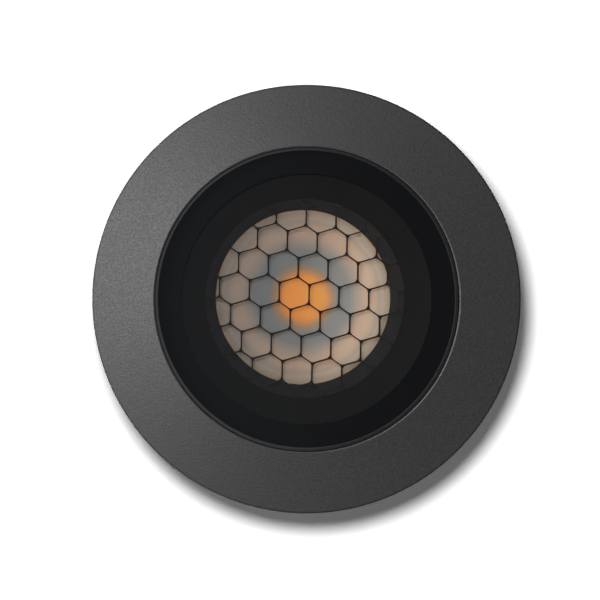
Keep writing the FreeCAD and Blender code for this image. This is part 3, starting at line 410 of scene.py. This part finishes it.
def clear_glass():
    """Clear pane that lets light straight through, with a ground edge and a little dust, heavier at -X, where
    the dust and the edge's paler tint are also painted light.
    """
    finish = Finish("clear_glass", Specular_IOR_Level=0.3)
    smear = finish.noise(GLASS_SMEAR, 3.0)
    along = finish.math("MULTIPLY_ADD", smear, FILM_WAVER, finish.axes[0])
    # Real dust and painted light: towards -X the dust film thickens and the ground edge gets paler.
    dust_and_light_fade = finish.span(along, FILM_DUSTY_PALE_X, FILM_CLEAN_DARK_X, 0.0, 1.0)
    frost = finish.noise(GLASS_FROST, 2.0)
    finish.feed(Base_Color=finish.tint(dust_and_light_fade, (0.052, 0.054, 0.057), (0.021, 0.022, 0.023)),
                Roughness=finish.spread(frost, 0.45, 0.7), Normal=finish.bump(frost, 0.01))

    clear = finish.add("BsdfTransparent", Color=(0.955, 0.965, 0.968, 1))
    polish = finish.add("BsdfGlossy", Roughness=finish.span(smear, 0.4, 0.8, 0.01, 0.05))
    front = finish.math("SUBTRACT", 1.0, finish.add("NewGeometry").outputs["Backfacing"])
    mirror = finish.math("MULTIPLY", finish.add("Fresnel", IOR=1.5).outputs[0], front)
    pane = finish.mix(mirror, clear, polish)

    dust = finish.add("BsdfDiffuse", Color=(0.42, 0.45, 0.52, 1))
    specks = finish.math("MULTIPLY", finish.specks(**GLASS_SPECKS), finish.span(smear, 0.5, 0.7, 0.0, 0.35))
    film = finish.math("MULTIPLY_ADD", dust_and_light_fade, FILM_LEAST - FILM_MOST, FILM_MOST)
    dusty = finish.mix(finish.math("MULTIPLY", finish.math("MAXIMUM", specks, film), front), pane, dust)
    ground = finish.math("GREATER_THAN", finish.radius(), GLASS_R - GLASS_EDGE)
    finish.show(finish.mix(ground, dusty, finish.shader))
    return finish.material


def lens_plastic():
    """Clear lens over an amber light source: amber core, grey ring and warm outer zone with moulded steps,
    painted shade towards -X and a painted glow at the core.
    """
    finish = Finish("lens_plastic", Subsurface_Weight=1.0, Subsurface_Radius=(1.0, 1.0, 1.0),
                    Subsurface_Scale=LENS_SCATTER, Specular_IOR_Level=0.35, Roughness=0.25,
                    Emission_Strength=PAINTED_GLOW)
    share = finish.math("DIVIDE", finish.radius(), LENS_R)
    drift = finish.noise(LENS_WAVER_SIZE, 1.0)
    waver = finish.math("MULTIPLY", finish.math("SUBTRACT", drift, 0.5), LENS_WAVER)
    zones = finish.ramp(finish.math("ADD", share, waver), *LENS_ZONES)
    # Painted shade: the colour is multiplied down towards -X.
    across = finish.math("SUBTRACT", finish.axes[0], finish.math("MULTIPLY", finish.axes[1], LENS_SIDE_TURN))
    sides = finish.ramp(finish.span(across, -LENS_SIDE_X, LENS_SIDE_X, 0.0, 1.0), *LENS_PAINTED_SHADE)
    steps = finish.math("SINE", finish.math("MULTIPLY", finish.radius(), LENS_STEPS))
    # Painted glow at the core, through the emission.
    finish.feed(Base_Color=finish.blend(1.0, zones, sides, "MULTIPLY"), Normal=finish.bump(steps, 0.002),
                Emission_Color=finish.ramp(share, *PAINTED_GLOW_ZONES))
    return finish.material


def board_laminate():
    """Green solder mask over copper tracks."""
    finish = Finish("board_laminate", Specular_IOR_Level=0.5)
    tracks = finish.add("TexBrick", Vector=finish.place, Scale=0.6, Mortar_Size=0.035)
    copper = finish.math("SUBTRACT", 1.0, tracks.outputs["Fac"])
    weave = finish.noise(0.4, 2.0)
    mask = finish.tint(weave, (0.012, 0.09, 0.035), (0.02, 0.13, 0.05))
    finish.feed(Base_Color=finish.blend(tracks.outputs["Fac"], mask, (0.05, 0.2, 0.08, 1)),
                Roughness=finish.spread(weave, 0.28, 0.42), Normal=finish.bump(copper, 0.02))
    return finish.material


ALONG_Z = (0.25, 0.25, 6.0)
FINISHES = {
    "trim_coating": coated("trim_coating", (0.0238, 0.0238, 0.0240), 0.55, 0.5, TRIM_R),
    "pot_coating": coated("pot_coating", (0.026, 0.026, 0.028), 0.5, 0.6, POT_R),
    "clear_glass": clear_glass(),
    "black_rubber": moulded("black_rubber", (0.0042, 0.0042, 0.0052), 0.75, 0.2, 0.008,
                            Specular_IOR_Level=0.04),
    "bezel_plastic": moulded("bezel_plastic", (0.0108, 0.0106, 0.0106), 0.68, 0.25, 0.01,
                             Specular_IOR_Level=0.06),
    # Painted light: the hood is coloured paler and bluer than the bezel, standing in for the light on its
    # steep wall.
    "hood_plastic": moulded("hood_plastic", (0.0200, 0.0310, 0.0440), 0.62, 0.25, 0.008,
                            Specular_IOR_Level=0.08),
    "louvre_coating": moulded("louvre_coating", (0.0130, 0.0127, 0.0124), 0.72, 0.15, 0.006,
                              Specular_IOR_Level=0.12),
    "lens_plastic": lens_plastic(),
    "amber_phosphor": moulded("amber_phosphor", (0.85, 0.32, 0.04), 0.35, 0.15, 0.008, Subsurface_Weight=0.4,
                              Subsurface_Scale=0.6 * MM),
    "white_ceramic": moulded("white_ceramic", (0.72, 0.72, 0.69), 0.55, 0.12, 0.004),
    "white_plastic": moulded("white_plastic", (0.66, 0.66, 0.63), 0.45, 0.3, 0.008),
    "lamp_aluminium": metal("lamp_aluminium", (0.62, 0.63, 0.64), 0.38, (3.0, 3.0, 0.3)),
    "pad_silicone": moulded("pad_silicone", (0.35, 0.40, 0.50), 0.75, 0.2, 0.01),
    "bright_steel": metal("bright_steel", (0.58, 0.58, 0.57), 0.26, ALONG_Z),
    "board_laminate": board_laminate(),
    "dark_components": moulded("dark_components", (0.03, 0.03, 0.03), 0.5, 0.15, 0.006),
    "capacitor_can": metal("capacitor_can", (0.55, 0.55, 0.56), 0.3, ALONG_Z),
    "terminal_plastic": moulded("terminal_plastic", (0.05, 0.25, 0.09), 0.42, 0.3, 0.008),
    "gland_plastic": moulded("gland_plastic", (0.022, 0.022, 0.023), 0.42, 0.35, 0.01),
    "sleeve_plastic": moulded("sleeve_plastic", (0.033, 0.033, 0.035), 0.52, 0.35, 0.02, (0.5, 0.5, 5.0)),
}


def aim(direction, lean):
    """Unit vector towards a compass direction in degrees, leaning off the vertical by an angle in degrees."""
    turn, off = math.radians(direction), math.radians(lean)
    return Vector((math.cos(turn) * math.sin(off), math.sin(turn) * math.sin(off), math.cos(off)))


def dress_nodes():
    """Gives each node of the model the finish that the record names for it."""
    for subpart in frame["record"]["subparts"]:
        slots = frame["nodes"][subpart["node"]].data.materials
        slots.clear()
        slots.append(FINISHES[subpart["material_slot"]])


def put_piece(form, node, name=None):
    """Puts a form in millimetres on a node's body, in its finish. Without a name it replaces the node."""
    bmesh.ops.scale(form, vec=(MM, MM, MM), verts=form.verts)
    bmesh.ops.recalc_face_normals(form, faces=form.faces)
    mesh = bpy.data.meshes.new(name or node + "_fine")
    form.to_mesh(mesh)
    form.free()
    mesh.shade_smooth()
    mesh.set_sharp_from_angle(angle=math.radians(SHARP_ANGLE))
    piece = bpy.data.objects.new(mesh.name, mesh)
    bpy.context.scene.collection.objects.link(piece)
    slot = next(s["material_slot"] for s in frame["record"]["subparts"] if s["node"] == node)
    mesh.materials.append(FINISHES[slot])
    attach(piece, next(b for b, nodes in frame["record"]["behaviour"]["bodies"].items() if node in nodes))
    if not name:
        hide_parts(node)


def lathe(form, seat, axis, loops):
    """Closed turned form along an axis. A loop is (height, radius) or (height, radius, depth of lobes)."""
    turn = axis.to_track_quat("Z", "X")
    rings = []
    for height, radius, *lobe in loops:
        ring = []
        for i in range(SCREW_SIDES):
            angle = 2 * math.pi * i / SCREW_SIDES
            reach = radius * (1 + sum(lobe) * math.cos(SCREW_LOBES * angle))
            point = Vector((reach * math.cos(angle), reach * math.sin(angle), height))
            ring.append(form.verts.new(seat + turn @ point))
        rings.append(ring)
    for low, high in zip(rings, rings[1:]):
        for i in range(SCREW_SIDES):
            j = (i + 1) % SCREW_SIDES
            form.faces.new((low[i], low[j], high[j], high[i]))
    form.faces.new(rings[0][::-1])
    form.faces.new(rings[-1])


def outline(corners):
    """Points along a closed outline. A corner is (radius, height) or (radius, height, rounding)."""
    points = []
    for i, (radius, height, *rounding) in enumerate(corners):
        here = Vector((radius, height))
        if not rounding:
            points.append(here)
            continue
        back = (Vector(corners[i - 1][:2]) - here).normalized()
        ahead = (Vector(corners[(i + 1) % len(corners)][:2]) - here).normalized()
        half = back.angle(ahead) / 2
        reach = rounding[0] / math.tan(half)
        centre = here + (back + ahead).normalized() * (rounding[0] / math.sin(half))
        points.append(here + back * (reach + ROUND_MARGIN))
        for step in range(ROUND_STEPS + 1):
            spoke = (here + back * reach - centre).slerp(here + ahead * reach - centre, step / ROUND_STEPS)
            points.append(centre + spoke.normalized() * rounding[0])
        points.append(here + ahead * (reach + ROUND_MARGIN))
    return points


def thread_share(turn, height, width):
    """Height of a right-hand thread at a point: 0 between the ridges and 1 on a ridge of this width."""
    place = (height / THREAD_PITCH - turn / (2 * math.pi)) % 1.0
    return min(1.0, max(0.0, (width - abs(place - 0.5)) / THREAD_FLANK))


def fade(distance):
    """Share of a thread's height at a distance from its end."""
    return min(1.0, max(0.0, distance / THREAD_FADE))


def rows(start, end):
    """Heights from one to the other, close enough to carry a thread."""
    count = math.ceil(abs(end - start) / THREAD_PITCH * THREAD_STEPS)
    return [start + (end - start) * i / count for i in range(count + 1)]


def turned_ring(points, reach):
    """Ring with a closed outline. The reach gives the radius of a point at a turn."""
    form = bmesh.new()
    turns = [2 * math.pi * i / RING_SIDES for i in range(RING_SIDES)]
    loops = []
    for point in points:
        spots = [(reach(point, turn), turn) for turn in turns]
        loops.append([form.verts.new((r * math.cos(turn), r * math.sin(turn), point.y)) for r, turn in spots])
    for low, high in zip(loops, loops[1:] + loops[:1]):
        for i in range(RING_SIDES):
            j = (i + 1) % RING_SIDES
            form.faces.new((low[i], low[j], high[j], high[i]))
    return form


def trim_ring():
    """The trim ring with even rounds and the groove of its thread, in place of the node."""
    rebate_r = GLASS_R + REBATE_GAP
    bevel_r = rebate_r + RIM_BEVEL_W
    bevel_z = RIM_Z - RIM_BEVEL_W * (RIM_Z - TRIM_EDGE_Z) / (TRIM_R - rebate_r)
    ledge_r = GLASS_R - GASKET_W + LEDGE_SETBACK
    ledge_z = LEDGE_TOP_Z - LEDGE_T
    barrel_r = BORE_R + BARREL_WALL
    skirt_r = TRIM_R - SKIRT_WALL

    def reach(point, turn):
        in_bore = BORE_R - THREAD_SINK < point.x < BORE_R + BARREL_EDGE + THREAD_SINK
        if not in_bore or point.y > ledge_z:
            return point.x
        depth = THREAD_GROOVE_DEPTH * thread_share(turn, point.y, THREAD_GROOVE) * fade(ledge_z - point.y)
        return max(point.x, BORE_R + depth)

    corners = [
        (TRIM_R, TRIM_FOOT_Z), (TRIM_R, TRIM_EDGE_Z, TRIM_EDGE_ROUND), (bevel_r, bevel_z, RIM_ROUND),
        (rebate_r, bevel_z - RIM_BEVEL_H), (rebate_r, LEDGE_TOP_Z),
        (ledge_r, LEDGE_TOP_Z), (ledge_r, ledge_z),
        *[(BORE_R, z) for z in rows(ledge_z, BARREL_Z + BARREL_EDGE)], (BORE_R + BARREL_EDGE, BARREL_Z),
        (barrel_r - BARREL_EDGE, BARREL_Z), (barrel_r, BARREL_Z + BARREL_EDGE), (barrel_r, SLEEVE_FLANGE_T),
        (skirt_r, SLEEVE_FLANGE_T), (skirt_r, TRIM_FOOT_Z),
    ]
    put_piece(turned_ring(outline(corners), reach), "trim_ring")


def neck_thread():
    """The ridge of the thread, added on the neck of the pot."""
    low_z = BARREL_Z - SHOULDER_GAP + THREAD_FADE
    high_z = NECK_TOP_Z - THREAD_FADE
    root_r = NECK_R - THREAD_SINK
    back_r = root_r - THREAD_SINK

    def reach(point, turn):
        if point.x < (back_r + root_r) / 2:
            return point.x
        ends = fade(high_z - point.y) * fade(point.y - low_z)
        return point.x + (THREAD_RIDGE_H + THREAD_SINK) * thread_share(turn, point.y, THREAD_RIDGE) * ends

    corners = [(back_r, high_z), (back_r, low_z), *[(root_r, z) for z in rows(low_z, high_z)]]
    put_piece(turned_ring(outline(corners), reach), "housing", "neck_thread")


def screws(node, seats, head_r, head_t, shank_r, shank_l):
    """Pan-head screws with six-lobe recesses in place of a node's plain ones. A seat is (place, axis)."""
    pitch = SCREW_PITCH * shank_r
    root_r = SCREW_ROOT * shank_r
    loops = [(-shank_l, SCREW_TIP * shank_r), (-shank_l + SCREW_TIP_L * pitch, root_r)]
    for i in range(int(SCREW_THREADED * shank_l / pitch)):
        foot = -shank_l + (0.5 + i) * pitch
        crest = [foot + place * pitch for place in (SCREW_CREST_START, SCREW_CREST_END)]
        loops += [(foot, root_r), *[(height, shank_r) for height in crest]]
    loops += [(-SCREW_PLAIN * shank_l, shank_r), (0.0, shank_r)]
    loops += [(height * head_t, radius * head_r) for height, radius in SCREW_HEAD]
    loops += [(height * head_t, radius * head_r, SCREW_LOBE_DEPTH) for height, radius in SCREW_RECESS]
    form = bmesh.new()
    for place, axis in seats:
        lathe(form, place, axis, loops)
    put_piece(form, node)


def all_screws():
    """The screws of the springs, the driver board and the light source."""
    up = Vector((0, 0, 1))
    low, high = corners_mm("spring_screws")
    out_r = high.y - SPRING_SCREW["head_t"]
    outward = [aim(turn, FLAT) for turn in TRIO]
    middle = up * (low.z + high.z) / 2
    screws("spring_screws", [(side * out_r + middle, side) for side in outward], **SPRING_SCREW)
    low, high = corners_mm("board_screws")
    ring_r = high.y - BOARD_SCREW["head_r"]
    seat = up * (high.z - BOARD_SCREW["head_t"])
    screws("board_screws", [(side * ring_r + seat, up) for side in outward], **BOARD_SCREW)
    low, high = corners_mm("clamp_screws")
    seat = up * (high.z - CLAMP_SCREW["head_t"])
    sides = [Vector((0, y, 0)) for y in (high.y - CLAMP_SCREW["head_r"], low.y + CLAMP_SCREW["head_r"])]
    screws("clamp_screws", [(side + seat, up) for side in sides], **CLAMP_SCREW)


def lamp(name, level, place, width, shape):
    """Soft lamp that gives a surface facing it at the origin a set share of full white."""
    data = bpy.data.lights.new(name, "AREA")
    data.shape = shape
    data.size = width
    data.energy = level * math.pi ** 2 * place.length_squared
    light = bpy.data.objects.new(name, data)
    light.location = place
    light.rotation_mode = "QUATERNION"
    light.rotation_quaternion = (-light.location).to_track_quat("-Z", "Y")
    bpy.context.scene.collection.objects.link(light)
    return light


def sky():
    """Sky that is dark overhead and pale near the horizon, paler on the side of the softbox."""
    world = bpy.data.worlds.new("sky")
    bpy.context.scene.world = world
    world.use_nodes = True
    tree = world.node_tree
    backdrop = tree.nodes["Background"]

    def step(operation, *values):
        node = tree.nodes.new("ShaderNodeMath")
        node.operation = operation
        for socket, value in zip(node.inputs, values):
            if isinstance(value, bpy.types.NodeSocket):
                tree.links.new(value, socket)
            else:
                socket.default_value = value
        return node.outputs[0]

    axes = tree.nodes.new("ShaderNodeSeparateXYZ")
    tree.links.new(tree.nodes.new("ShaderNodeTexCoord").outputs["Generated"], axes.inputs[0])
    toward = aim(BOX_DIRECTION, FLAT)
    side = step("MULTIPLY_ADD", axes.outputs[0], toward.x, step("MULTIPLY", axes.outputs[1], toward.y))
    height = step("MAXIMUM", axes.outputs[2], 0.0)
    dusk = tree.nodes.new("ShaderNodeMapRange")
    dusk.interpolation_type = "SMOOTHSTEP"
    dusk.inputs["From Max"].default_value = SKY_DARK_CAP
    dusk.inputs["To Min"].default_value = 1.0
    dusk.inputs["To Max"].default_value = 0.0
    tree.links.new(height, dusk.inputs["Value"])
    pale = step("MULTIPLY", step("MULTIPLY_ADD", side, SKY_SWING, SKY_HORIZON - SKY_ZENITH), dusk.outputs[0])
    path = tree.nodes.new("ShaderNodeLightPath").outputs
    mirrored = step("MULTIPLY", step("MAXIMUM", path["Is Glossy Ray"], path["Is Transmission Ray"]),
                    step("LESS_THAN", height, SKY_WALLS))
    wall = step("MULTIPLY_ADD", side, (WALL_PALE - WALL_DARK) / 2, (WALL_PALE + WALL_DARK) / 2)
    shown = step("MULTIPLY_ADD", mirrored, wall, step("MULTIPLY", path["Is Camera Ray"], SKY_BACKDROP))
    hidden = step("SUBTRACT", 1.0, step("MAXIMUM", path["Is Camera Ray"], mirrored))
    strength = step("MULTIPLY_ADD", step("ADD", pale, SKY_ZENITH), hidden, shown)
    tree.links.new(strength, backdrop.inputs["Strength"])
    backdrop.inputs["Color"].default_value = (1, 1, 1, 1)


def floor():
    """Round pale floor under the sleeve, which fades into the backdrop."""
    mesh = bpy.data.meshes.new("floor")
    form = bmesh.new()
    bmesh.ops.create_circle(form, cap_ends=True, segments=FLOOR_SIDES, radius=FLOOR_R)
    form.to_mesh(mesh)
    form.free()
    ground = bpy.data.objects.new("floor", mesh)
    ground.location.z = cad_low.z
    bpy.context.scene.collection.objects.link(ground)
    finish = Finish("floor_paint", Roughness=0.9, Specular_IOR_Level=0.1)
    seen = finish.add("LightPath").outputs
    direct = finish.math("MAXIMUM", seen["Is Camera Ray"],
                         finish.math("MAXIMUM", seen["Is Glossy Ray"], seen["Is Transmission Ray"]))
    finish.feed(Base_Color=finish.blend(direct, (FLOOR_ALBEDO,) * 3 + (1,), (FLOOR_SEEN,) * 3 + (1,)))
    far = finish.math("MULTIPLY", direct, finish.span(finish.radius(), FLOOR_NEAR, FLOOR_FAR, 0.0, 1.0))
    white = finish.add("Emission", Strength=SKY_BACKDROP)
    finish.show(finish.mix(far, finish.shader, white))
    mesh.materials.append(finish.material)


def camera():
    """Camera above the trim ring, framed as the photograph is."""
    data = bpy.data.cameras.new("camera")
    eye = bpy.data.objects.new("camera", data)
    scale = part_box("trim_ring")[1].x / RING_PX
    edge_h = TRIM_EDGE_Z * MM
    target = Vector(((PHOTO_W / 2 - RING_X_PX) * scale, (RING_Y_PX - PHOTO_W / 2) * scale, edge_h))
    rise = CAMERA_H - edge_h
    back = Vector((math.tan(math.radians(CAMERA_LEAN_X)), math.tan(math.radians(CAMERA_LEAN_Y)), 1.0)) * rise
    data.sensor_width = SENSOR
    data.lens = SENSOR * back.length / (PHOTO_W * scale)
    z_axis = back.normalized()
    x_axis = Vector((0, 1, 0)).cross(z_axis).normalized()
    y_axis = z_axis.cross(x_axis)
    turn = Matrix((x_axis, y_axis, z_axis)).transposed().to_4x4()
    eye.matrix_world = Matrix.Translation(target + back) @ turn
    bpy.context.scene.collection.objects.link(eye)
    bpy.context.scene.camera = eye
    return target + back


dress_nodes()
trim_ring()
neck_thread()
all_screws()
floor()
sky()
eye_place = camera()
key_place = eye_place * KEY_REACH + aim(KEY_DIRECTION, FLAT) * KEY_OFFSET
box_place = aim(BOX_DIRECTION, BOX_LEAN) * BOX_DISTANCE
# The key lights the surfaces, and the softbox is what their gloss shows.
lamp("key", KEY_LEVEL, key_place, KEY_W, "DISK").visible_glossy = False
lamp("softbox", BOX_LEVEL, box_place, BOX_W, "SQUARE").visible_diffuse = False
bpy.context.scene.view_settings.view_transform = "Standard"
